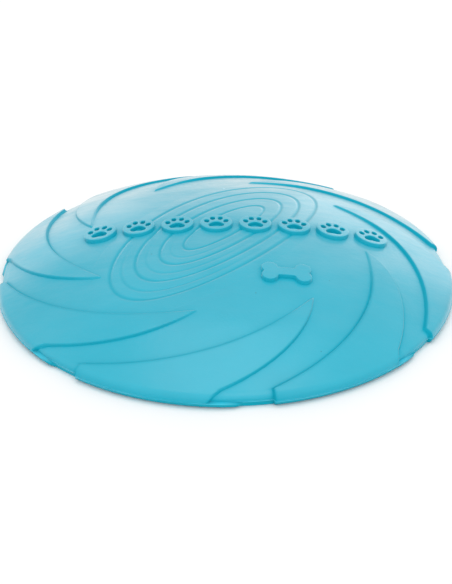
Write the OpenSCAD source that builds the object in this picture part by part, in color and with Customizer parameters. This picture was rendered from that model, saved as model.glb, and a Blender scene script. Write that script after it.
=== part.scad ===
// Domed flying disc in soft rubber, with a swirl of raised blades, a nest of low ripples
// round the middle and a row of raised marks. +Z is up, and the disc rests on z = 0.

/* [Disc] */
// Diameter across the blade ends
disc_d = 180; // [160:5:240]
// Rise of the dome above the widest plane
dome_h = 18.2; // [14:0.1:24]
// Thickness of the rubber, square to the surface
skin_t = 3; // [2.4:0.2:3.6]

/* [Rim] */
// Height of the upright band round the edge
rim_h = 3.6; // [2.6:0.2:4]
// Radius that rounds the lower corners of the bead
bead_round = 0.4; // [0.4:0.1:1.2]
// Share of the radius at which the bead begins
bead_start = 0.93; // [0.92:0.01:0.94]

/* [Blades] */
// Number of raised blades
blade_count = 8; // [6:1:10]
// Height of a blade above the dome
blade_h = 1.2; // [0.8:0.1:1.6]
// How far a blade stands out past the rim
blade_proud = 1.6; // [1:0.1:2]
// Direction of the first blade's tip, in degrees
blade_turn = -100.3; // [-123:0.1:-78]
// Share of the radius at which the blades begin
blade_tip = 0.62; // [0.58:0.01:0.66]
// Sweep of the leading edge, in degrees over a whole radius
lead_sweep = 182; // [160:1:200]
// Quick turn of the leading edge just past the tip, in degrees
lead_flare = 4.8; // [3:0.1:6]
// Sweep of the trailing edge, in degrees over a whole radius
trail_sweep = 73; // [60:1:90]
// How fast that sweep grows, in degrees over a radius squared
trail_curl = 79; // [60:1:90]

/* [Ripples] */
// Number of ripples round the core
ripple_count = 3; // [2:1:3]
// Height of a ripple above the dome
ripple_h = 0.5; // [0.3:0.1:0.8]
// Width of the valley between two ripples
valley_w = 0.9; // [0.6:0.1:1.2]
// Direction of the ripples' long axis, in degrees
ripple_turn = 52; // [40:1:70]

/* [Marks] */
// Height of a raised mark above the dome
mark_h = 1.7; // [1.2:0.1:2]
// Number of badges in the row, each with a paw print sunk into it
paw_count = 8; // [5:1:8]
// Width of a badge
paw_w = 12.5; // [9:0.5:13]
// Length of the small bone
bone_l = 18; // [14:0.5:20]

/* [Hidden] */
$fn = 96;
EPS = 0.01;
RUBBER = [0.24, 0.74, 0.83];

tip_r = disc_d / 2;
base_r = tip_r - blade_proud;
crown_z = rim_h + dome_h;

// The dome falls by these shares of its rise, with the 2nd and 4th power of the radius.
FALL = [0.7, 0.3];

// Rings of the dome's outline, as shares of the base radius.
PLATE_STEPS = 14;
BEAD_STEPS = 3;
PLATE_RINGS = [for (i = [0:PLATE_STEPS]) bead_start * i / PLATE_STEPS];
BEAD_RINGS = [for (i = [0:BEAD_STEPS]) bead_start + (1 - bead_start) * i / BEAD_STEPS];
RINGS = concat(PLATE_RINGS, [for (i = [1:BEAD_STEPS]) BEAD_RINGS[i]]);

// A blade reaches its full height over this share of the radius. Its edges curve as far as
// BLADE_BEND, then run straight out over the rim, far enough for the chord between their
// ends to clear it.
BLADE_RAMP = 0.08;
BLADE_BEND = 0.975;
BLADE_RUNOUT = 1.2;
BLADE_STEPS = 18;
FLARE_LENGTH = 0.035;

// Half length, half width and centre of the outermost valley, and what each next one's
// differ by.
RIPPLE_A = 0.636;
RIPPLE_B = 0.296;
RIPPLE_DA = 0.122;
RIPPLE_DB = 0.0715;
RIPPLE_CENTRE = [-0.027, 0.002];
RIPPLE_DRIFT = [0.008, 0.003];
RIPPLE_STEPS = 72;

// The row of badges, and the bone below its right half, as shares of the base radius.
ROW_FROM = -0.56;
ROW_TO = 0.65;
ROW_Y = 0.01;
BONE_AT = [0.25, -0.38];

BLADES = [for (k = [1:blade_count]) str("blade_", k)];
RIPPLES = [for (k = [1:ripple_count]) str("ripple_", k)];
PAWS = [for (k = [1:paw_count]) str("paw_print_", k)];

// Height of the dome's outer face, its slope, and a point lifted square off it.
function dome_z(u) = rim_h + dome_h * (1 - FALL[0] * u^2 - FALL[1] * u^4);
function dome_slope(u) = atan(dome_h / base_r * (2 * FALL[0] * u + 4 * FALL[1] * u^3));
function lifted(u, lift) =
    [u * base_r + lift * sin(dome_slope(u)), dome_z(u) + lift * cos(dome_slope(u))];
function under_z(u) = dome_z(u) - skin_t / cos(dome_slope(u));
function reversed(list) = [for (i = [len(list) - 1:-1:0]) list[i]];

// Directions of a blade's two edges at a share u of the radius.
function past_tip(u) = max(0, min(BLADE_BEND, u) - blade_tip);
function lead_angle(u) =
    -lead_sweep * past_tip(u) - lead_flare * (1 - exp(-past_tip(u) / FLARE_LENGTH));
function trail_angle(u) = -trail_sweep * past_tip(u) - trail_curl * past_tip(u)^2;
function blade_rise(u) = blade_h * min(1, past_tip(u) / BLADE_RAMP);
function polar(u, angle) = u * base_r * [cos(angle), sin(angle)];

// The outline of a ripple: an oval, drawn in by an inset.
function ripple_outline(level, inset) =
    let (
        a = RIPPLE_A - RIPPLE_DA * level - inset / base_r,
        b = RIPPLE_B - RIPPLE_DB * level - inset / base_r,
        centre = RIPPLE_CENTRE + RIPPLE_DRIFT * level,
        c = cos(ripple_turn),
        s = sin(ripple_turn)
    )
    [for (i = [0:RIPPLE_STEPS - 1])
        let (t = 360 * i / RIPPLE_STEPS, x = a * cos(t), y = b * sin(t))
        base_r * (centre + [x * c - y * s, x * s + y * c])];

function row_x(k) = base_r * (ROW_FROM + (ROW_TO - ROW_FROM) * (k - 1) / (paw_count - 1));

// The layer of rubber from the dome's outer face up to a constant height.
module dome_layer(rise) {
    rotate_extrude()
        polygon(concat(
            [for (u = PLATE_RINGS) [u * base_r, dome_z(u)]],
            reversed([for (u = PLATE_RINGS) [u * base_r, dome_z(u) + rise / cos(dome_slope(u))]])
        ));
}

// The layer that the blades are cut from: it thins out towards the tips and turns down
// over the rim.
module blade_layer() {
    rings = [for (u = RINGS) if (u > blade_tip - bead_start / PLATE_STEPS) u];
    brim = lifted(1, blade_h);
    brow_z = brim.y - (tip_r - brim.x) * tan(dome_slope(1));
    rotate_extrude()
        polygon(concat(
            [for (u = rings) [u * base_r, dome_z(u)]],
            [[base_r, bead_round], [tip_r, bead_round], [tip_r, brow_z]],
            reversed([for (u = rings) if (u < 1) lifted(u, blade_rise(u))])
        ));
}

module flight_plate() {
    color(RUBBER)
        rotate_extrude()
            polygon(concat(
                [for (u = PLATE_RINGS) [u * base_r, dome_z(u)]],
                reversed([for (u = PLATE_RINGS) [u * base_r, under_z(u)]])
            ));
}

module rim_bead() {
    inner_r = bead_start * base_r;
    corner = [for (a = [0:15:90]) bead_round * [sin(a), 1 - cos(a)]];
    color(RUBBER)
        rotate_extrude()
            polygon(concat(
                [for (u = BEAD_RINGS) [u * base_r, dome_z(u)]],
                reversed([for (p = corner) [base_r - bead_round + p.x, p.y]]),
                [for (p = corner) [inner_r + bead_round - p.x, p.y]]
            ));
}

module blade(k) {
    curved = [for (i = [0:BLADE_STEPS]) blade_tip + (BLADE_BEND - blade_tip) * i / BLADE_STEPS];
    shares = concat(curved, [BLADE_RUNOUT]);
    color(RUBBER)
        intersection() {
            blade_layer();
            rotate(blade_turn + 360 * (k - 1) / blade_count)
                linear_extrude(crown_z)
                    polygon(concat(
                        [for (u = shares) polar(u, lead_angle(u))],
                        reversed([for (u = shares) if (u > blade_tip) polar(u, trail_angle(u))])
                    ));
        }
}

// Outlines of the raised marks, as upright prisms: round badges and a bone.
module badge_prism(k) {
    translate([row_x(k), ROW_Y * base_r, 0]) cylinder(d = paw_w, h = crown_z + mark_h);
}

// The hollows of a paw print: a wide pad below and four toes above it.
module paw_hollows(k) {
    depth = crown_z + 2 * mark_h;
    translate([row_x(k), ROW_Y * base_r, -EPS]) {
        translate([0, -0.13 * paw_w, 0]) cylinder(r = 0.16 * paw_w, h = depth);
        for (side = [-1, 1]) {
            translate([0.12 * side * paw_w, -0.21 * paw_w, 0]) cylinder(r = 0.12 * paw_w, h = depth);
            translate([0.3 * side * paw_w, 0.07 * paw_w, 0]) cylinder(r = 0.085 * paw_w, h = depth);
            translate([0.12 * side * paw_w, 0.25 * paw_w, 0]) cylinder(r = 0.085 * paw_w, h = depth);
        }
    }
}

module bone_prisms() {
    knob_r = 0.16 * bone_l;
    shaft_w = 0.24 * bone_l;
    reach = bone_l / 2 - knob_r;
    translate([BONE_AT.x * base_r, BONE_AT.y * base_r, 0]) {
        translate([-reach, -shaft_w / 2, 0]) cube([2 * reach, shaft_w, crown_z + mark_h]);
        for (x = [-reach, reach], y = [-0.75 * knob_r, 0.75 * knob_r])
            translate([x, y, 0]) cylinder(r = knob_r, h = crown_z + mark_h);
    }
}

// Ripples and core are cut round the marks, which rise through them.
module ripple(level) {
    color(RUBBER)
        difference() {
            intersection() {
                dome_layer(ripple_h);
                linear_extrude(crown_z + mark_h) polygon(ripple_outline(level - 1, valley_w / 2));
            }
            translate([0, 0, -EPS])
                linear_extrude(crown_z + 2 * mark_h) polygon(ripple_outline(level, -valley_w / 2));
            for (k = [1:paw_count]) badge_prism(k);
        }
}

module ripple_core() {
    color(RUBBER)
        difference() {
            intersection() {
                dome_layer(ripple_h);
                linear_extrude(crown_z + mark_h) polygon(ripple_outline(ripple_count, valley_w / 2));
            }
            for (k = [1:paw_count]) badge_prism(k);
        }
}

module paw_print(k) {
    color(RUBBER)
        difference() {
            intersection() {
                dome_layer(mark_h);
                badge_prism(k);
            }
            paw_hollows(k);
        }
}

module bone_mark() {
    color(RUBBER)
        intersection() {
            dome_layer(mark_h);
            bone_prisms();
        }
}

flight_plate();
rim_bead();
for (k = [1:blade_count]) blade(k);
for (k = [1:ripple_count]) ripple(k);
ripple_core();
for (k = [1:paw_count]) paw_print(k);
bone_mark();
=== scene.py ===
"""Looks of a domed flying disc in soft turquoise rubber. Metres, +Z up, resting on z = 0."""

import math

import bpy
import numpy as np
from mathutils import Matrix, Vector
from mathutils.geometry import delaunay_2d_cdt


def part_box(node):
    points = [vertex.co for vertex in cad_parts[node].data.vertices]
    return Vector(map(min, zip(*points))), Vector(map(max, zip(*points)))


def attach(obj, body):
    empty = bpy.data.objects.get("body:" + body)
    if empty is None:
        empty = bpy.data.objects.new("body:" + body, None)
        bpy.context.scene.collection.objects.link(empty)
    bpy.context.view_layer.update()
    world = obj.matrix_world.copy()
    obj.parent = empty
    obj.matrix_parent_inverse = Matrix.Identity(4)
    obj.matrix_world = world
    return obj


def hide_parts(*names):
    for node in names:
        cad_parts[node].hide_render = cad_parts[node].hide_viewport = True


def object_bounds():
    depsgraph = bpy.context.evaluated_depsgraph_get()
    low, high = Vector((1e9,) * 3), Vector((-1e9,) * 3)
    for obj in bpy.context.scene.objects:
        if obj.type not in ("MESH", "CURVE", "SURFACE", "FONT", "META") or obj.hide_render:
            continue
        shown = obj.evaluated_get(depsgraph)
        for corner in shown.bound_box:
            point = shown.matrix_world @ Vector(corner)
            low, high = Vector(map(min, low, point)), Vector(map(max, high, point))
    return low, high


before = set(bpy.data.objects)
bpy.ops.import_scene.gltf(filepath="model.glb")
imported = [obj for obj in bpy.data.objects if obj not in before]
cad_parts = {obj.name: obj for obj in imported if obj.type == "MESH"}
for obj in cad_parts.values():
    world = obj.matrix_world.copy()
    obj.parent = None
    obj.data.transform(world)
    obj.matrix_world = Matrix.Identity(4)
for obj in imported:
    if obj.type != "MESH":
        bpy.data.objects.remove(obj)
cad_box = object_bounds()

MM = 0.001
BLADE_COUNT = 8
RIPPLE_COUNT = 3
BADGE_COUNT = 8

# ------------------------------------------------------------------ sizes from the frame

SEAM_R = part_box("flight_plate")[1].x
BASE_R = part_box("rim_bead")[1].x
TIP_R = cad_box[1].x
CROWN_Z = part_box("flight_plate")[1].z
RIM_H = 3.6 * MM
DOME_H = CROWN_Z - RIM_H
SKIN_T = 3.0 * MM

# Rounding of the bead's lower corners, and of the brow where the dome meets the upright band.
# The parting line's flash stands out by the lip, and the band below it draws in by the recess.
BEAD_ROUND = 0.4 * MM
BROW_ROUND = 1.7 * MM
PARTING_LIP = 0.14 * MM
PARTING_RECESS = 0.45 * MM

# Rings of the band below the brow: share of the way down, and inset.
BAND = (
    (0.06, 0.0),
    (0.12, 0.25 * PARTING_RECESS),
    (0.15, -PARTING_LIP),
    (0.30, 0.1 * PARTING_RECESS),
    (0.65, 0.6 * PARTING_RECESS),
    (1.0, PARTING_RECESS),
)
# Places of the brow's end and of the parting line, counted from the end of the rim's outline,
# and the height over which a blade's side changes there.
BROW_END = -1 - len(BAND)
PARTING = BROW_END + 2
PARTING_STEP = 0.15 * MM

# The dome falls by these shares of its rise, with the 2nd and 4th power of the radius.
FALL = (0.7, 0.3)

# Blade edges: directions in degrees at a share of the radius, measured from the tip.
BLADE_TURN = -100.3
BLADE_TIP = 0.62
BLADE_BEND = 0.975
LEAD_SWEEP, LEAD_FLARE, FLARE_LENGTH = 182.0, 4.8, 0.035
TRAIL_SWEEP, TRAIL_CURL = 73.0, 79.0
LEAD_WALL, TRAIL_WALL = 0.8 * MM, 0.9 * MM

# Height of a blade on the dome, and how far it stands out past the rim. Its mesh starts just
# inside its tip, where it steps up to a share of its height; then it climbs the rest. Runs are
# shares of the radius.
BLADE_H = 1.15 * MM
BLADE_PROUD = TIP_R - BASE_R - PARTING_LIP
BLADE_START = BLADE_TIP - 0.006
STEP_SHARE, STEP_RUN, CLIMB_RUN = 0.55, 0.012, 0.12
PROUD_RUN = 0.1

# Columns of a blade's mesh across each wall, in wall widths from the wall's middle, and the
# number between the walls. In a narrow blade each wall's inner columns keep to a share of its
# width.
WALL_COLUMNS = np.concatenate([[-0.75], np.linspace(-0.5, 0.5, 11), [0.8, 1.4]])
INNER_SHARE, MIDDLE_COLUMNS = 0.45, 14

# A trailing edge sweeps on as it goes down over the rim, and below the parting line the
# blade reaches back past it.
TRAIL_RUN, LEDGE_TURN = math.radians(2.4), math.radians(7.3)
LEDGE_FADE = 4.5 * MM

# Soft foot of the rubber along a blade's edge: height and reach, and the share of the radius
# over which it grows from the tip.
LEAD_FOOT, LEAD_FOOT_REACH = 0.10 * MM, 1.2 * MM
TRAIL_FOOT, TRAIL_FOOT_REACH = 0.25 * MM, 2.4 * MM
FOOT_RUN = 0.1

# Painted shade, which darkens the colour and turns down sheen and gloss, and the width of its
# lines. It lies along the blades' feet and walls, weaker on their trailing sides and at their
# tips, and in the ripples' valleys and folds.
FOOT_PAINTED_SHADE, FOOT_LINE, TRAIL_FOOT_SHARE = 0.8, 0.6 * MM, 0.2
WALL_PAINTED_SHADE, TRAIL_WALL_SHARE = 0.8, 0.7
TIP_SHARE, TIP_RUN = 0.3, 0.15
VALLEY_PAINTED_SHADE, VALLEY_LINE, FOLD_LINE_SHARE = 0.7, 0.75 * MM, 0.6

# Painted shade also covers the rim's band, from a soft start at the brow, and more so below the
# parting line. Along that line the flash gets a painted highlight instead.
RIM_PAINTED_SHADE, BROW_FADE = 0.45, 1.2 * MM
LOW_BAND_SHARE, LOW_BAND_FADE = 1.4, 0.4 * MM
FLASH_Z, FLASH_LINE, FLASH_PAINTED_HIGHLIGHT = 2.25 * MM, 0.22 * MM, 2.6

# Ripples: half axes and centre of the outermost valley, as shares of the base radius, and what
# each next one's differ by. Then their height, the width of their flanks and the valleys' height.
RIPPLE_A, RIPPLE_DA = 0.636, 0.122
RIPPLE_B, RIPPLE_DB = 0.296, 0.0715
RIPPLE_TURN = math.radians(52)
RIPPLE_CENTRE, RIPPLE_DRIFT = np.array([-0.027, 0.002]), np.array([0.008, 0.003])
RIPPLE_H = 0.2 * MM
RIPPLE_FLANK = 1.4 * MM
VALLEY_H = 0.02 * MM

# The swell outside the outermost valley ends at this level; the fold in each ripple lies at
# FOLD_SHARE of its width, runs round one end and fades inwards from ripple to ripple.
SWELL_LEVEL = -1.0
FOLD_SHARE, FOLD_DEPTH, FOLD_HALF = 0.45, 0.16 * MM, 0.7 * MM
FOLD_AT, FOLD_SPREAD = math.radians(197), math.radians(55)
FOLD_STRENGTH = (1.0, 0.7, 0.5)

# Raised marks: height, rounding and lean of their walls; spacing of the points on their tops,
# and room to their edges. The row and the bone are placed in shares of the base radius.
MARK_H = 1.65 * MM
MARK_ROUND = 0.25 * MM
MARK_LEAN = 0.2 * MM
TOP_GRID, TOP_CLEAR = 0.8 * MM, 0.3 * MM
ROW_FROM, ROW_TO, ROW_Y = -0.56, 0.65, 0.01
BONE_AT = (0.25, -0.38)
BONE_L = 18.0 * MM

# Paw print, in badge widths: the big pad's height and size, the toes' half axes, and for each
# toe on one side its place and its outward tilt in degrees.
BADGE_W = 12.5 * MM
PAD_Y, PAD_R = -0.17, 0.215
TOE_A, TOE_B = 0.08, 0.11
TOES = ((0.3, 0.07, 16), (0.12, 0.25, 5))

# The edges of every raised piece are sunk this far into the rubber below it, and the underside
# of blades and ripples lies deeper.
SINK = 0.12 * MM
UNDERSIDE = 3 * SINK

# Fineness of the meshes: faces round the disc, then points along each line, ends included.
SEGMENTS = 576
PLATE_TOP, PLATE_UNDER, RIM_DOME, ROUNDING = 132, 40, 12, 8
BLADE_DOME = 46
RIPPLE_ROUND, RIPPLE_ACROSS, SWELL_ACROSS = 433, 49, 33

# The core's rings shrink towards its centre, and the last leaves this share of its size.
CORE_ROUND, CORE_ACROSS, CORE_LAST = 289, 30, 0.01

# The rubber's linear colours: its faint clouds, the shade painted into creases, and what full
# painted shade takes away.
TINT_LOW, TINT_HIGH = (0.010, 0.398, 0.540, 1.0), (0.013, 0.422, 0.570, 1.0)
CREASE_PAINTED_SHADE, WHITE = (0.45, 1.0, 0.97, 1.0), (1.0, 1.0, 1.0, 1.0)
PAINTED_SHADE_DIMMING = (-0.45, -0.14, -0.13)

# What ambient occlusion reads on open rubber and in a full crease, and how far it looks. Full
# painted shade lowers that reading, and the powdery sheen and the gloss fade with it, as shade
# painted on the reflections.
OPEN_AO, FULL_CREASE, CREASE_REACH = 0.985, 0.5, 5.0 * MM
PAINTED_SHADE_ON_AO = -0.45
GLOSS, GLOSS_IN_CREASES = 0.5, 0.04

# Studio panels: azimuth and elevation in degrees; distance, width and height; radiance.
PANELS = {
    "overhead": (180, 85, 1.0, 0.65, 0.65, 1.1),
    "back": (180, 12, 2.0, 4.4, 0.85, 0.52),
    "back_left": (155, 13, 1.9, 0.9, 0.9, 0.45),
    "back_right": (205, 13, 1.9, 1.1, 0.9, 1.05),
}


# ------------------------------------------------------------------ curves and heights


def smooth(x):
    """0 to 1 with a soft start and end."""
    x = np.clip(x, 0.0, 1.0)
    return x * x * (3.0 - 2.0 * x)


def dome_height(r):
    """Height of the dome's outer face at a radius."""
    u = r / BASE_R
    return RIM_H + DOME_H * (1 - FALL[0] * u**2 - FALL[1] * u**4)


def dome_slope(r):
    """Slope of the dome's outer face at a radius."""
    u = r / BASE_R
    fall = 2 * FALL[0] * u + 4 * FALL[1] * u**3
    return np.arctan(DOME_H / BASE_R * fall)


def dome_line(r):
    """Points and normals of the dome's outline, as (r, z)."""
    slopes = dome_slope(r)
    return np.stack([r, dome_height(r)], 1), np.stack([np.sin(slopes), np.cos(slopes)], 1)


def under_height(r):
    """Height of the dome's underside at a radius."""
    return dome_height(r) - SKIN_T / np.cos(dome_slope(r))


def past_tip(u):
    """How far out from the blades' tips, and at most to their bend."""
    return np.maximum(0.0, np.minimum(BLADE_BEND, u) - BLADE_TIP)


def lead_angle(u):
    """Direction of a blade's leading edge, from that of its tip."""
    x = past_tip(u)
    return np.radians(-LEAD_SWEEP * x - LEAD_FLARE * (1 - np.exp(-x / FLARE_LENGTH)))


def trail_angle(u):
    """Direction of a blade's trailing edge, from that of its tip."""
    x = past_tip(u)
    return np.radians(-TRAIL_SWEEP * x - TRAIL_CURL * x**2)


def squareness(edge, u):
    """How much of an arc's length counts as distance from a blade's edge."""
    step = 1e-4
    rate = (edge(u + step) - edge(u - step)) / (2 * step)
    return 1.0 / np.sqrt(1.0 + (u * rate) ** 2)


def ripple_point(level, t, scale=1.0):
    """Points on an oval valley line, as x and y in metres."""
    x = scale * (RIPPLE_A - RIPPLE_DA * level) * np.cos(t)
    y = scale * (RIPPLE_B - RIPPLE_DB * level) * np.sin(t)
    c, s = math.cos(RIPPLE_TURN), math.sin(RIPPLE_TURN)
    centre = RIPPLE_CENTRE + RIPPLE_DRIFT * level
    return BASE_R * np.stack([centre[0] + x * c - y * s, centre[1] + x * s + y * c], -1)


def soft_relief(x, y):
    """The low swells of plate and bead along the feet of the blades, and the shade painted there."""
    r = np.hypot(x, y)
    u = r / BASE_R
    pitch = 2 * math.pi / BLADE_COUNT
    turn = np.arctan2(y, x) - math.radians(BLADE_TURN)
    after_trail = np.mod(turn - trail_angle(u), pitch)
    gap = pitch - (trail_angle(u) - lead_angle(u))
    under_blade = after_trail > gap
    trail_d = after_trail * r * squareness(trail_angle, u)
    lead_d = (gap - after_trail) * r * squareness(lead_angle, u)
    foot = TRAIL_FOOT * np.exp(-trail_d / TRAIL_FOOT_REACH)
    foot = foot + LEAD_FOOT * np.exp(-np.maximum(lead_d, 0) / LEAD_FOOT_REACH)
    foot = np.where(under_blade, LEAD_FOOT, foot)
    # Shade painted in lines along both feet, weaker along the trailing one.
    near = TRAIL_FOOT_SHARE * np.exp(-((trail_d / FOOT_LINE) ** 2)) + np.exp(-((lead_d / FOOT_LINE) ** 2))
    present = smooth((u - BLADE_TIP) / FOOT_RUN)
    return foot * present, FOOT_PAINTED_SHADE * near * present


# ------------------------------------------------------------------ meshes


def mesh_piece(node, verts, faces, sharp=50, painted_shading=None):
    """A smooth-shaded mesh that rides on the disc and stands for a CAD node.

    Edges sharper than the given angle in degrees stay sharp. The painted shading gives for each
    vertex, from 0 to 1, how much shade is painted on it in a groove or at a foot: it darkens the
    colour and turns down the powdery sheen and the gloss.
    """
    name = "rubber_" + node
    mesh = bpy.data.meshes.new(name)
    mesh.from_pydata([tuple(v) for v in verts], [], faces)
    values = np.zeros(len(verts)) if painted_shading is None else painted_shading
    mesh.attributes.new("painted_shading", "FLOAT", "POINT").data.foreach_set("value", values)
    mesh.validate()
    mesh.shade_smooth()
    mesh.set_sharp_from_angle(angle=math.radians(sharp))
    piece = bpy.data.objects.new(name, mesh)
    bpy.context.scene.collection.objects.link(piece)
    piece.data.materials.append(rubber)
    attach(piece, "root")
    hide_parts(node)


def grid_quads(rows, cols, first=0, wrap_rows=False, wrap_cols=False, flip=False):
    """Quads of a grid of vertices stored row by row."""
    quads = []
    for i in range(rows if wrap_rows else rows - 1):
        for j in range(cols if wrap_cols else cols - 1):
            i2, j2 = (i + 1) % rows, (j + 1) % cols
            quad = (i * cols + j, i * cols + j2, i2 * cols + j2, i2 * cols + j)
            quad = tuple(first + v for v in quad)
            quads.append(quad[::-1] if flip else quad)
    return quads


def slab(top, bottom, wrap_rows=False):
    """Vertices and faces of a closed sheet between two grids of the same shape."""
    rows, cols = top.shape[:2]
    count = rows * cols
    faces = grid_quads(rows, cols, 0, wrap_rows)
    faces += grid_quads(rows, cols, count, wrap_rows, flip=True)
    ids = np.arange(count).reshape(rows, cols)
    sides = [(ids[:, 0], True), (ids[:, -1], False)]
    if not wrap_rows:
        sides += [(ids[0], False), (ids[-1], True)]
    for side, flip in sides:
        line = side.tolist()
        after = line[1:] + line[:1] if wrap_rows else line[1:]
        for a, b in zip(line, after):
            quad = (a, b, b + count, a + count)
            faces.append(quad[::-1] if flip else quad)
    verts = np.concatenate([top.reshape(-1, 3), bottom.reshape(-1, 3)])
    return verts, faces


def lathe(points, normals, relief_share):
    """Rings of vertices for an outline of (r, z) points, and the painted shading of each vertex.

    The soft relief lifts them along the normals, as much as its share at each point says.
    """
    theta = np.arange(SEGMENTS) * 2 * math.pi / SEGMENTS
    r, z, share = points[:, :1], points[:, 1:], relief_share[:, None]
    x, y = r * np.cos(theta), r * np.sin(theta)
    lift, painted_shading = (part * share for part in soft_relief(x, y))
    out, up = lift * normals[:, :1], lift * normals[:, 1:]
    rings = np.stack([(r + out) * np.cos(theta), (r + out) * np.sin(theta), z + up], -1)
    return rings, painted_shading + rim_painted_shading(z) * share


def rim_painted_shading(z):
    """Shade painted on the band below the brow, and a painted highlight along the thin flash."""
    band = smooth((RIM_H - z) / BROW_FADE + 0.5)
    band = band + LOW_BAND_SHARE * smooth((FLASH_Z - z) / LOW_BAND_FADE)
    return RIM_PAINTED_SHADE * band - FLASH_PAINTED_HIGHLIGHT * np.exp(-(((z - FLASH_Z) / FLASH_LINE) ** 2))


def dome_point(x, y, height):
    """A point lifted square off the dome."""
    r = np.hypot(x, y)
    slope = dome_slope(r)
    grow = height * np.sin(slope) / np.maximum(r, 1e-9)
    return np.stack([x + x * grow, y + y * grow, dome_height(r) + height * np.cos(slope)], -1)


# ------------------------------------------------------------------ the rubber


def fill(tree, node, inputs):
    """Sets inputs of a shader node, each to a value or to another node's output."""
    for socket, value in inputs.items():
        if isinstance(value, bpy.types.NodeSocket):
            tree.links.new(value, node.inputs[socket])
        else:
            node.inputs[socket].default_value = value


def add(tree, kind, inputs, output, **settings):
    """A new shader node's output, with the node's settings and inputs filled in."""
    node = tree.nodes.new("ShaderNode" + kind)
    for name, value in settings.items():
        setattr(node, name, value)
    fill(tree, node, inputs)
    return node.outputs[output]


def vector_math(tree, operation, *values):
    """The output of a vector maths node that takes two or three values."""
    return add(tree, "VectorMath", dict(enumerate(values)), "Vector", operation=operation)


def add_ramp(tree, value, low, high):
    """A colour ramp between two stops, each a position and a colour."""
    colour = add(tree, "ValToRGB", {"Fac": value}, "Color")
    for stop, (position, shade) in zip(colour.node.color_ramp.elements, (low, high)):
        stop.position = position
        stop.color = shade
    return colour


def map_range(tree, value, from_min, from_max, to_min, to_max):
    """A value mapped from one range to another."""
    ends = {"From Min": from_min, "From Max": from_max, "To Min": to_min, "To Max": to_max}
    return add(tree, "MapRange", {"Value": value, **ends}, "Result")


def rubber_colour(tree, place, clouds, openness, painted_shading):
    """Turquoise with faint clouds, with painted shade in creases and the shading, and rare specks."""
    tint = add_ramp(tree, clouds, (0.35, TINT_LOW), (0.65, TINT_HIGH))
    # Painted shade in creases, where ambient occlusion reads low.
    crease_shade = add_ramp(tree, openness, (0.45, CREASE_PAINTED_SHADE), (OPEN_AO, WHITE))
    # The painted shading darkens the colour as well, red most.
    dimming = vector_math(tree, "MULTIPLY_ADD", painted_shading, PAINTED_SHADE_DIMMING, WHITE[:3])
    dimmed = vector_math(tree, "MULTIPLY", vector_math(tree, "MULTIPLY", tint, crease_shade), dimming)
    specks = add(tree, "TexVoronoi", {"Vector": place, "Scale": 90.0}, "Distance")
    dots = map_range(tree, specks, 0.018, 0.032, 0.5, 1.0)
    return add(tree, "VectorMath", {0: dimmed, "Scale": dots}, "Vector", operation="SCALE")


def powder_bloom(tree, place):
    """How much powder is left on the rubber, in long patches where hands have wiped it."""
    long_way = {"Vector": place, "Rotation": (0.0, 0.0, 0.5), "Scale": (1.0, 2.6, 1.0)}
    stretched = add(tree, "Mapping", long_way, "Vector")
    patches = {"Vector": stretched, "Scale": 22.0, "Detail": 9.0, "Roughness": 0.68}
    return map_range(tree, add(tree, "TexNoise", patches, "Fac"), 0.35, 0.65, 0.35, 1.0)


def fine_grain(tree, place):
    """The moulding's fine grain, as a bump."""
    grain = add(tree, "TexNoise", {"Vector": place, "Scale": 900.0, "Detail": 3.0}, "Fac")
    return add(tree, "Bump", {"Height": grain, "Strength": 0.18, "Distance": 0.2 * MM}, "Normal")


def make_rubber():
    """Matt turquoise rubber: powdery sheen, faint clouds, fine grain, rare specks and painted shade."""
    material = bpy.data.materials.new("turquoise_rubber")
    material.use_nodes = True
    tree = material.node_tree
    place = add(tree, "TexCoord", {}, "Object")
    clouds = add(tree, "TexNoise", {"Vector": place, "Scale": 38.0, "Detail": 4.0}, "Fac")
    openness = add(tree, "AmbientOcclusion", {"Distance": CREASE_REACH}, "AO")
    painted_shading = add(tree, "Attribute", {}, "Fac", attribute_name="painted_shading")
    # Painted shade on the reflections: sheen and gloss are turned down in creases and where shade is
    # painted.
    exposure = {0: painted_shading, 1: PAINTED_SHADE_ON_AO, 2: openness}
    exposed = add(tree, "Math", exposure, "Value", operation="MULTIPLY_ADD")
    powder = powder_bloom(tree, place)
    fill(tree, tree.nodes["Principled BSDF"], {
        "Base Color": rubber_colour(tree, place, clouds, openness, painted_shading),
        "Roughness": map_range(tree, clouds, 0.0, 1.0, 0.20, 0.30),
        "IOR": 1.5,
        "Specular IOR Level": map_range(tree, exposed, FULL_CREASE, OPEN_AO, GLOSS_IN_CREASES, GLOSS),
        "Sheen Weight": map_range(tree, exposed, FULL_CREASE, OPEN_AO, GLOSS_IN_CREASES, powder),
        "Sheen Roughness": 0.41,
        "Sheen Tint": (1.0, 0.93, 0.88, 1.0),
        "Normal": fine_grain(tree, place),
    })
    return material


# ------------------------------------------------------------------ plate and bead


def make_plate():
    """The domed skin, from the crown to the seam with the bead."""
    outer = np.linspace(0, SEAM_R, PLATE_TOP)[1:]
    inner = np.linspace(SEAM_R, 0, PLATE_UNDER)[:-1]
    points, normals = dome_line(np.concatenate([outer, inner]))
    points[len(outer):, 1] = under_height(inner)
    share = np.concatenate([np.ones(len(outer)), np.zeros(len(inner))])
    rings, painted_shading = lathe(points, normals, share)
    poles = [(0, 0, CROWN_Z), (0, 0, CROWN_Z - SKIN_T)]
    verts = np.concatenate([rings.reshape(-1, 3), poles])
    last_ring, top_pole, low_pole = len(verts) - 2 - SEGMENTS, len(verts) - 2, len(verts) - 1
    faces = grid_quads(len(points), SEGMENTS, 0, wrap_cols=True, flip=True)
    for i in range(SEGMENTS):
        j = (i + 1) % SEGMENTS
        faces.append((top_pole, i, j))
        faces.append((low_pole, last_ring + j, last_ring + i))
    mesh_piece("flight_plate", verts, faces, painted_shading=np.append(painted_shading.ravel(), [0.0, 0.0]))


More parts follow.
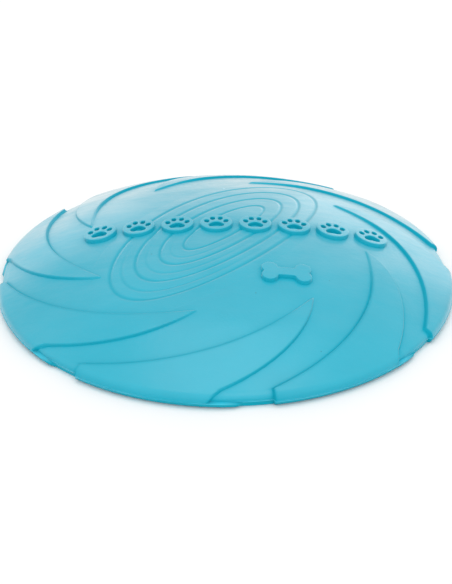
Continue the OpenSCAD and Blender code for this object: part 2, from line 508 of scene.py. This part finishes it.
def rim_outline():
    """Outer face from the seam over the brow and down the band: points and normals."""
    slope = float(dome_slope(BASE_R))
    brow_z = RIM_H - BROW_ROUND * (1 - math.sin(slope)) / math.cos(slope)
    brow_r = BASE_R - BROW_ROUND
    brow_start = brow_r + BROW_ROUND * math.sin(slope)
    dome_points, dome_normals = dome_line(np.linspace(SEAM_R, brow_start, RIM_DOME))
    turn = np.linspace(slope, math.pi / 2, ROUNDING)[1:]
    brow_normals = np.stack([np.sin(turn), np.cos(turn)], 1)
    brow_points = np.array([brow_r, brow_z]) + BROW_ROUND * brow_normals
    down, inset = np.array(BAND).T
    band_points = np.stack([BASE_R - inset, brow_z - down * (brow_z - BEAD_ROUND)], 1)
    band_normals = np.tile([1.0, 0.0], (len(BAND), 1))
    points = np.concatenate([dome_points, brow_points, band_points])
    return points, np.concatenate([dome_normals, brow_normals, band_normals])


def make_bead():
    """The thick edge: brow, upright band, rounded corners and the face that it rests on."""
    points, normals = rim_outline()
    turn = np.linspace(0, math.pi / 2, ROUNDING)[1:]
    across, down = BEAD_ROUND * np.cos(turn), BEAD_ROUND * np.sin(turn)
    outer_corner = np.stack([BASE_R - PARTING_RECESS - BEAD_ROUND + across, BEAD_ROUND - down], 1)
    face_edge = [[SEAM_R + BEAD_ROUND, 0.0]]
    inner_corner = np.stack([SEAM_R + BEAD_ROUND - down, BEAD_ROUND - across], 1)
    wall_z = np.linspace(BEAD_ROUND, float(under_height(SEAM_R)), 4)[1:]
    wall = np.stack([np.full(len(wall_z), SEAM_R), wall_z], 1)
    hidden = np.concatenate([outer_corner, face_edge, inner_corner, wall])
    share = np.concatenate([smooth((points[:, 1] - BEAD_ROUND) / (0.8 * MM)), np.zeros(len(hidden))])
    points = np.concatenate([points, hidden])
    normals = np.concatenate([normals, np.tile([1.0, 0.0], (len(hidden), 1))])
    rings, painted_shading = lathe(points, normals, share)
    faces = grid_quads(len(points), SEGMENTS, 0, wrap_rows=True, wrap_cols=True, flip=True)
    mesh_piece("rim_bead", rings.reshape(-1, 3), faces, painted_shading=painted_shading.ravel())


# ------------------------------------------------------------------ blades


def blade_columns(width, lead_wall, trail_wall):
    """Arc distances from the leading edge of a blade's columns, close together at both edges."""
    lead, trail = WALL_COLUMNS * lead_wall, WALL_COLUMNS * trail_wall
    for columns in (lead, trail):
        columns[columns > 0] *= min(1.0, INNER_SHARE * width / columns[-1])
    middle = np.linspace(lead[-1], width - trail[-1], MIDDLE_COLUMNS + 2)[1:-1]
    return np.concatenate([lead, middle, (width - trail)[::-1]])


def blade_path():
    """The line that a blade's rows follow, out from its tip, over the brow and down the band.

    Gives points, normals, and how far on each point is from the bend to the end of the brow.
    """
    dome_points, dome_normals = dome_line(np.linspace(BLADE_START * BASE_R, SEAM_R, BLADE_DOME)[:-1])
    rim_points, rim_normals = rim_outline()
    points = np.concatenate([dome_points, rim_points])
    steps = np.linalg.norm(np.diff(points, axis=0), axis=1)
    along = np.concatenate([[0], np.cumsum(steps)])
    bend = np.interp(BLADE_BEND * BASE_R, points[:BROW_END, 0], along[:BROW_END])
    over_brow = np.clip((along - bend) / (along[BROW_END] - bend), 0, 1)
    return points, np.concatenate([dome_normals, rim_normals]), over_brow


def blade_row(r, z, over_brow, parting_z):
    """One row across a blade: directions from its own, heights above the rubber, painted shading."""
    u = r / BASE_R
    ledge = smooth((parting_z - z) / PARTING_STEP)
    lead = float(lead_angle(u))
    trail = float(trail_angle(u)) + LEDGE_TURN * ledge - TRAIL_RUN * over_brow
    lead_share, trail_share = float(squareness(lead_angle, u)), float(squareness(trail_angle, u))
    width, trail_wall = (trail - lead) * r, TRAIL_WALL * (1 + over_brow)
    arcs = blade_columns(width, LEAD_WALL / lead_share, trail_wall / trail_share)
    lead_d, trail_d = arcs * lead_share, (width - arcs) * trail_share

    trail_rise = smooth(trail_d / trail_wall + 0.5)
    ledge_rise = smooth((trail_d + 0.5 * trail_wall) / LEDGE_FADE)
    rise = smooth(lead_d / LEAD_WALL + 0.5) * (trail_rise + (ledge_rise - trail_rise) * ledge)
    full = BLADE_H + (BLADE_PROUD - BLADE_H) * smooth((u - 1 + PROUD_RUN) / PROUD_RUN)
    step, climb = smooth((u - BLADE_TIP) / STEP_RUN), smooth((u - BLADE_TIP) / CLIMB_RUN)
    full *= STEP_SHARE * step + (1 - STEP_SHARE) * climb
    full *= smooth((z - 0.55 * BEAD_ROUND) / (0.3 * MM))

    # Shade painted along the walls, weaker on the trailing side and near the tip, plus the rim's.
    walls = np.exp(-((lead_d / LEAD_WALL) ** 2))
    walls += TRAIL_WALL_SHARE * np.exp(-((1.5 * trail_d / trail_wall) ** 2)) * (1 - ledge)
    grown = TIP_SHARE + (1 - TIP_SHARE) * smooth((u - BLADE_TIP) / TIP_RUN)
    painted_shading = WALL_PAINTED_SHADE * grown * np.minimum(walls, 1) + rim_painted_shading(z)
    return lead + arcs / r, (full + SINK) * rise - SINK, painted_shading


def make_blade(index):
    """One raised blade: pointed at its tip, with walls that run down over the rim."""
    points, normals, brow_shares = blade_path()
    turn = math.radians(BLADE_TURN) + 2 * math.pi * index / BLADE_COUNT
    top, bottom, painted_shading = [], [], []
    for (r, z), (nr, nz), over_brow in zip(points, normals, brow_shares):
        angles, height, row_painted_shading = blade_row(r, z, over_brow, points[PARTING, 1])
        theta = turn + angles
        painted_shading.append(row_painted_shading)
        for lift, rows in ((height, top), (np.full_like(height, -UNDERSIDE), bottom)):
            rr = r + nr * lift
            rows.append(np.stack([rr * np.cos(theta), rr * np.sin(theta), z + nz * lift], -1))
    verts, faces = slab(np.array(top), np.array(bottom))
    painted_shading = np.tile(np.array(painted_shading).ravel(), 2)
    mesh_piece(f"blade_{index + 1}", verts, faces, sharp=75, painted_shading=painted_shading)


# ------------------------------------------------------------------ ripples


def ripple_height(edge):
    """Height above the dome at a distance from the nearest valley line."""
    return RIPPLE_H * smooth(edge / RIPPLE_FLANK) + VALLEY_H


def ripple_ring(node, flat, height, edge, fold=0.0):
    """A closed ring of rubber over the dome, from plan points, heights and valley distances."""
    top = dome_point(flat[..., 0], flat[..., 1], height)
    bottom = dome_point(flat[..., 0], flat[..., 1], np.minimum(height, 0) - UNDERSIDE)
    verts, faces = slab(top, bottom, wrap_rows=True)
    # Shade painted along the valley lines and, more faintly, along the folds.
    lines = np.maximum(np.exp(-((edge / VALLEY_LINE) ** 2)), FOLD_LINE_SHARE * fold)
    mesh_piece(node, verts, faces, painted_shading=np.tile(VALLEY_PAINTED_SHADE * lines.ravel(), 2))


def between(level_a, level_b, t, share):
    """Plan points at a share of the way from one oval to the next, and the way's length."""
    outer, inner = ripple_point(level_a, t), ripple_point(level_b, t)
    flat = outer[:, None, :] * (1 - share[:, None]) + inner[:, None, :] * share[:, None]
    return flat, np.linalg.norm(outer - inner, axis=1)[:, None]


def band_shares(steps):
    """Shares from 0 to 1, closer together at both ends."""
    x = np.linspace(0, 1, steps)
    return 0.5 * x + 0.5 * smooth(x)


def outer_swell(t):
    """The swell outside the outermost valley: plan points, heights and valley distances."""
    share = band_shares(SWELL_ACROSS)[:-1]
    flat, width = between(SWELL_LEVEL, 0, t, share)
    edge = (1 - share) * width
    height = RIPPLE_H * smooth(1.1 * share) * smooth(edge / RIPPLE_FLANK) + VALLEY_H
    return flat, height - 0.5 * SINK * smooth(1 - 8 * share), edge


def make_ripple(index):
    """One band between two valley lines, with a fold at one end; the first has a swell outside."""
    t = np.linspace(0, 2 * math.pi, RIPPLE_ROUND)[:-1]
    share = band_shares(RIPPLE_ACROSS)
    flat, width = between(index, index + 1, t, share)
    edge = np.minimum(share, 1 - share) * width
    aside = (share - FOLD_SHARE) * width / FOLD_HALF
    along = (t - FOLD_AT) / FOLD_SPREAD
    fold = FOLD_STRENGTH[index] * np.exp(-(aside**2)) * np.exp(-(along[:, None] ** 4))
    height = ripple_height(edge) - FOLD_DEPTH * fold
    if index == 0:
        swell = outer_swell(t)
        flat, height, edge = (np.concatenate(pair, 1) for pair in zip(swell, (flat, height, edge)))
        fold = np.concatenate([np.zeros_like(swell[1]), fold], 1)
    ripple_ring(f"ripple_{index + 1}", flat, height, edge, fold)


def make_core():
    """The island inside the innermost valley line."""
    t = np.linspace(0, 2 * math.pi, CORE_ROUND)[:-1]
    scales = 1 - band_shares(CORE_ACROSS) * (1 - CORE_LAST)
    flat = np.stack([ripple_point(RIPPLE_COUNT, t, scale) for scale in scales], 1)
    edge = np.linalg.norm(flat - flat[:, :1], axis=2)
    ripple_ring("ripple_core", flat, ripple_height(edge), edge)


# ------------------------------------------------------------------ raised marks


def inward(outline):
    """Unit normals of a closed anticlockwise outline, pointing into it."""
    along = np.roll(outline, -1, 0) - np.roll(outline, 1, 0)
    along /= np.linalg.norm(along, axis=1)[:, None]
    return np.stack([-along[:, 1], along[:, 0]], 1)


def is_inside(points, outline):
    """Which points lie inside a closed outline."""
    x, y = points[:, 0][:, None], points[:, 1][:, None]
    after = np.roll(outline, -1, 0)
    crosses = (outline[:, 1] > y) != (after[:, 1] > y)
    rise = np.where(after[:, 1] == outline[:, 1], 1.0, after[:, 1] - outline[:, 1])
    at = outline[:, 0] + (y - outline[:, 1]) / rise * (after[:, 0] - outline[:, 0])
    return (crosses & (x < at)).sum(1) % 2 == 1


def within(points, loops):
    """Which points lie inside the first outline and outside all the others."""
    inside = is_inside(points, loops[0])
    for loop in loops[1:]:
        inside &= ~is_inside(points, loop)
    return inside


def inner_points(loops):
    """An even grid of points between an outline and its holes, clear of both."""
    low, high = loops[0].min(0), loops[0].max(0)
    lines = [np.arange(low[i], high[i], TOP_GRID) for i in (0, 1)]
    grid = np.stack(np.meshgrid(*lines), -1).reshape(-1, 2)
    clear = np.linalg.norm(grid[:, None] - np.concatenate(loops), axis=2).min(1) > TOP_CLEAR
    return grid[clear & within(grid, loops)]


def cap(loops, extra):
    """Triangles between an outline and its holes, using their points and some extra ones."""
    points = np.concatenate(loops + [extra])
    edges, start = [], 0
    for loop in loops:
        edges += [(start + i, start + (i + 1) % len(loop)) for i in range(len(loop))]
        start += len(loop)
    result = delaunay_2d_cdt([Vector(p) for p in points], edges, [], 0, 1e-7)
    source = [origin[0] for origin in result[3]]
    faces = np.array([[source[i] for i in face] for face in result[2]])
    faces = faces[within(points[faces].mean(1), loops)]
    return [tuple(int(i) for i in face) for face in faces]


def raised(loops):
    """A pad on the dome: leaning walls, a rounded edge and a top that follows the dome.

    The first loop is its outline, anticlockwise; the others are holes, clockwise.
    """
    steps = [(-MARK_LEAN, -SINK), (0.0, MARK_H - MARK_ROUND)]
    for turn in np.linspace(0, math.pi / 2, 6)[1:]:
        inset, rise = MARK_ROUND * (1 - math.cos(turn)), MARK_ROUND * math.sin(turn)
        steps.append((inset, MARK_H - MARK_ROUND + rise))
    verts, faces, start = [], [], 0
    low_ids, top_ids = [], []
    for loop in loops:
        normal = inward(loop)
        count = len(loop)
        for inset, height in steps:
            ring = loop + inset * normal
            verts.append(dome_point(ring[:, 0], ring[:, 1], np.full(count, height)))
        faces += grid_quads(len(steps), count, start, wrap_cols=True)
        low_ids += range(start, start + count)
        top_ids += range(start + (len(steps) - 1) * count, start + len(steps) * count)
        start += len(steps) * count
    tops = [loop + MARK_ROUND * inward(loop) for loop in loops]
    grid = inner_points(tops)
    verts.append(dome_point(grid[:, 0], grid[:, 1], np.full(len(grid), MARK_H)))
    top_ids += range(start, start + len(grid))
    faces += [tuple(top_ids[i] for i in face) for face in cap(tops, grid)]
    lows = [loop - MARK_LEAN * inward(loop) for loop in loops]
    faces += [tuple(low_ids[i] for i in face[::-1]) for face in cap(lows, np.empty((0, 2)))]
    return np.concatenate(verts), faces


def oval(centre, half_w, half_h, tilt=0, steps=41):
    """A closed oval outline, anticlockwise, tilted by some degrees."""
    t = np.linspace(0, 2 * math.pi, steps)[:-1]
    x, y = half_w * np.cos(t), half_h * np.sin(t)
    c, s = math.cos(math.radians(tilt)), math.sin(math.radians(tilt))
    return centre + np.stack([x * c - y * s, x * s + y * c], 1)


def heel(centre, radius):
    """The outline of a paw's big pad: rounded above, with two soft lobes below."""
    t = np.linspace(0, 2 * math.pi, 73)[:-1]
    r = radius * (1 + 0.10 * np.cos(3 * (t - math.pi / 2)) + 0.10 * np.cos(2 * t))
    return centre + np.stack([r * np.cos(t), 0.86 * r * np.sin(t)], 1)


def make_badge(index):
    """A round badge with a paw print sunk into it: a big pad below and four toes above."""
    x = ROW_FROM + (ROW_TO - ROW_FROM) * index / (BADGE_COUNT - 1)
    centre = BASE_R * np.array([x, ROW_Y])
    holes = [heel(centre + BADGE_W * np.array([0, PAD_Y]), PAD_R * BADGE_W)]
    for side in (-1, 1):
        for toe_x, toe_y, tilt in TOES:
            at = centre + BADGE_W * np.array([side * toe_x, toe_y])
            holes.append(oval(at, TOE_A * BADGE_W, TOE_B * BADGE_W, -side * tilt))
    outline = oval(centre, 0.5 * BADGE_W, 0.5 * BADGE_W, steps=97)
    verts, faces = raised([outline] + [hole[::-1] for hole in holes])
    mesh_piece(f"paw_print_{index + 1}", verts, faces, sharp=60)


def arc(x, y, radius, start, end, count):
    """Points on an arc, with angles in radians."""
    t = np.linspace(start, end, count)
    return np.stack([x + radius * np.cos(t), y + radius * np.sin(t)], 1)


def bone_outline():
    """A straight shaft with two round knobs at each end, all joined by small hollows."""
    knob, half_shaft = 0.16 * BONE_L, 0.12 * BONE_L
    knob_x, knob_y = BONE_L / 2 - knob, 0.75 * knob
    neck, notch = 0.06 * BONE_L, 0.03 * BONE_L
    neck_x = knob_x - math.sqrt((knob + neck) ** 2 - (half_shaft + neck - knob_y) ** 2)
    notch_x = knob_x + math.sqrt((knob + notch) ** 2 - knob_y**2)
    to_knob = math.atan2(knob_y - half_shaft - neck, knob_x - neck_x)
    to_notch = math.atan2(-knob_y, notch_x - knob_x)
    quarter = np.concatenate([
        np.stack([np.linspace(0, neck_x, 5)[:-1], np.full(4, half_shaft)], 1),
        arc(neck_x, half_shaft + neck, neck, -math.pi / 2, to_knob, 7)[:-1],
        arc(knob_x, knob_y, knob, to_knob + math.pi, to_notch, 30)[:-1],
        arc(notch_x, 0, notch, to_notch + math.pi, math.pi, 5),
    ])
    right = np.concatenate([quarter, quarter[-2::-1] * (1, -1)])
    left = right[-2:0:-1] * (-1, 1)
    return np.concatenate([right, left])[::-1]


def make_bone():
    """The small bone below the row of badges."""
    verts, faces = raised([BASE_R * np.array(BONE_AT) + bone_outline()])
    mesh_piece("bone_mark", verts, faces, sharp=60)


# ------------------------------------------------------------------ studio


def look_from(azimuth, elevation, distance, target):
    """Place and rotation of something that looks at a target from a direction in degrees."""
    a, e = math.radians(azimuth), math.radians(elevation)
    way = Vector((-math.sin(a) * math.cos(e), -math.cos(a) * math.cos(e), math.sin(e)))
    return target + distance * way, (-way).to_track_quat("-Z", "Y").to_euler()


def make_camera():
    """The camera, in front of the row of marks and above it."""
    data = bpy.data.cameras.new("camera")
    data.lens = 60.31
    data.sensor_width = 36.0
    data.shift_x = 0.0006
    data.shift_y = -0.0321
    camera = bpy.data.objects.new("camera", data)
    camera.location, camera.rotation_euler = look_from(0, 29.28, 395.4 * MM, Vector((0, 0, 0.6 * MM)))
    bpy.context.scene.collection.objects.link(camera)
    bpy.context.scene.camera = camera


def make_floor():
    """A plain pale floor."""
    half = 4.0
    mesh = bpy.data.meshes.new("floor")
    corners = [(-half, -half, 0), (half, -half, 0), (half, half, 0), (-half, half, 0)]
    mesh.from_pydata(corners, [], [(0, 1, 2, 3)])
    material = bpy.data.materials.new("pale_floor")
    material.use_nodes = True
    shader = material.node_tree.nodes["Principled BSDF"]
    shader.inputs["Base Color"].default_value = (0.94, 0.94, 0.94, 1)
    shader.inputs["Roughness"].default_value = 0.9
    mesh.materials.append(material)
    floor = bpy.data.objects.new("floor", mesh)
    bpy.context.scene.collection.objects.link(floor)


def soft_box(name, azimuth, elevation, distance, width, height, radiance):
    """A white panel that faces the disc."""
    data = bpy.data.lights.new(name, "AREA")
    data.shape = "RECTANGLE"
    data.size, data.size_y = width, height
    data.energy = math.pi * width * height * radiance
    light = bpy.data.objects.new(name, data)
    light.location, light.rotation_euler = look_from(azimuth, elevation, distance, Vector((0, 0, 0)))
    bpy.context.scene.collection.objects.link(light)


def make_world():
    """White studio surroundings, brighter on the camera's side."""
    world = bpy.data.worlds.new("studio")
    bpy.context.scene.world = world
    world.use_nodes = True
    tree = world.node_tree
    way = add(tree, "TexCoord", {}, "Generated")
    bright_side = Vector((0.0, -0.8, 0.6)).normalized()
    along = add(tree, "VectorMath", {0: way, 1: bright_side}, "Value", operation="DOT_PRODUCT")
    strength = map_range(tree, along, -1.0, 1.0, 0.2, 1.27)
    fill(tree, tree.nodes["Background"], {"Color": WHITE, "Strength": strength})


# ------------------------------------------------------------------ build

make_camera()
make_floor()
make_world()
for name, panel in PANELS.items():
    soft_box(name, *panel)
bpy.context.scene.view_settings.view_transform = "Standard"

rubber = make_rubber()
make_plate()
make_bead()
for k in range(BLADE_COUNT):
    make_blade(k)
for k in range(RIPPLE_COUNT):
    make_ripple(k)
make_core()
for k in range(BADGE_COUNT):
    make_badge(k)
make_bone()
